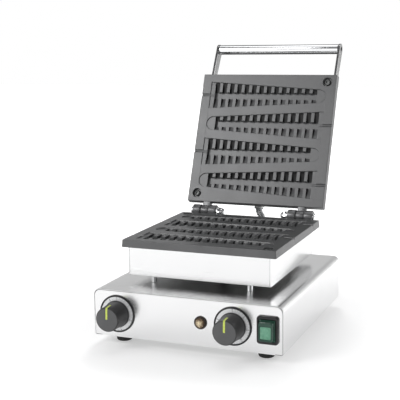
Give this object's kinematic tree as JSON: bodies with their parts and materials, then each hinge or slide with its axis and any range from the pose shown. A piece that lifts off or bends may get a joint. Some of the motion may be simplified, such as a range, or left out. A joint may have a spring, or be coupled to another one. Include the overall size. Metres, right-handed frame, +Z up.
{
  "type": "waffle stick maker",
  "caption": "Counter-top electric waffle maker: steel base with knobs and switch, boxed heater on legs, hinged lid with tapered stick-waffle moulds and a bail handle.",
  "frame": {"origin": "on the counter, midway between the four feet, under the middle of the base", "axes": "+Z up, +Y away from the operator, +X to the operator's right; the lid stands open"},
  "size_m": [0.3, 0.4951, 0.4397],
  "materials": {
    "brushed_steel": "stainless sheet, fine brushed grain",
    "galvanised_steel": "zinc-plated steel, satin",
    "heater_steel": "heat-tinted tubular heater sheath",
    "chrome": "bright polished",
    "nonstick_aluminium": "cast aluminium with a charcoal non-stick coating",
    "black_plastic": "fine satin",
    "knob_plastic": "dark grey satin with a yellow-green pointer line",
    "dial_aluminium": "satin silver scale ring with a black rim and graduation marks",
    "amber_lens": "translucent amber, moulded facets",
    "green_rocker": "translucent green",
    "clear_green_cover": "soft clear cover, glossy",
    "foot_rubber": "moulded rubber",
    "terminal_resin": "cream phenolic block"
  },
  "bodies": {
    "base": {"base_conduit_gland": "galvanised_steel", "base_floor": "galvanised_steel", "base_shell": "brushed_steel", "foot_front_left": "foot_rubber", "foot_front_right": "foot_rubber", "foot_rear_left": "foot_rubber", "foot_rear_right": "foot_rubber", "front_panel": "brushed_steel", "hinge_bolt_left": "chrome", "hinge_bolt_right": "chrome", "hinge_nut_left": "chrome", "hinge_nut_right": "chrome", "lamp_bezel": "black_plastic", "lamp_lens": "amber_lens", "leg_front_left": "chrome", "leg_front_right": "chrome", "leg_rear_left": "chrome", "leg_rear_right": "chrome", "leg_screw_front_left": "galvanised_steel", "leg_screw_front_right": "galvanised_steel", "leg_screw_rear_left": "galvanised_steel", "leg_screw_rear_right": "galvanised_steel", "lower_casing": "brushed_steel", "lower_casing_floor": "galvanised_steel", "lower_element_clamp": "galvanised_steel", "lower_heating_element": "heater_steel", "lower_plate": "nonstick_aluminium", "lower_plate_screw_front_right": "galvanised_steel", "lower_plate_screw_rear_left": "galvanised_steel", "mains_gland": "black_plastic", "rear_panel": "brushed_steel", "switch_boot": "clear_green_cover", "switch_housing": "black_plastic", "terminal_block": "terminal_resin", "thermostat_body": "black_plastic", "thermostat_dial": "dial_aluminium", "timer_body": "black_plastic", "timer_dial": "dial_aluminium", "wiring_conduit": "chrome", "wiring_duct": "galvanised_steel"},
    "lid": {"upper_casing": "brushed_steel", "upper_plate": "nonstick_aluminium", "upper_plate_screw_front_right": "galvanised_steel", "upper_plate_screw_rear_left": "galvanised_steel", "upper_heating_element": "heater_steel", "upper_element_clamp": "galvanised_steel", "handle_tube": "chrome", "handle_arm_left": "brushed_steel", "handle_arm_right": "brushed_steel", "handle_screw_left_1": "galvanised_steel", "handle_screw_left_2": "galvanised_steel", "handle_screw_right_1": "galvanised_steel", "handle_screw_right_2": "galvanised_steel", "lid_conduit_gland": "galvanised_steel"},
    "timer_knob_body": {"timer_knob": "knob_plastic", "timer_spindle": "galvanised_steel"},
    "thermostat_knob_body": {"thermostat_knob": "knob_plastic", "thermostat_spindle": "galvanised_steel"},
    "rocker": {"switch_rocker": "green_rocker"}
  },
  "joints": [
    {"name": "lid_hinge", "type": "hinge", "parent": "base", "child": "lid", "pos_m": [0, 0.1415, 0.154], "axis": [1, 0, 0], "range_deg": [0, 112.4], "deforming": ["wiring_conduit"]},
    {"name": "timer_turn", "type": "hinge", "parent": "base", "child": "timer_knob_body", "pos_m": [-0.1106, -0.158, 0.05], "axis": [0, 1, 0], "range_deg": [0, 330]},
    {"name": "thermostat_turn", "type": "hinge", "parent": "base", "child": "thermostat_knob_body", "pos_m": [0.074, -0.158, 0.05], "axis": [0, 1, 0], "range_deg": [0, 290]},
    {"name": "switch_rock", "type": "hinge", "parent": "base", "child": "rocker", "pos_m": [0.127, -0.16, 0.05], "axis": [1, 0, 0], "range_deg": [0, 16]}
  ]
}
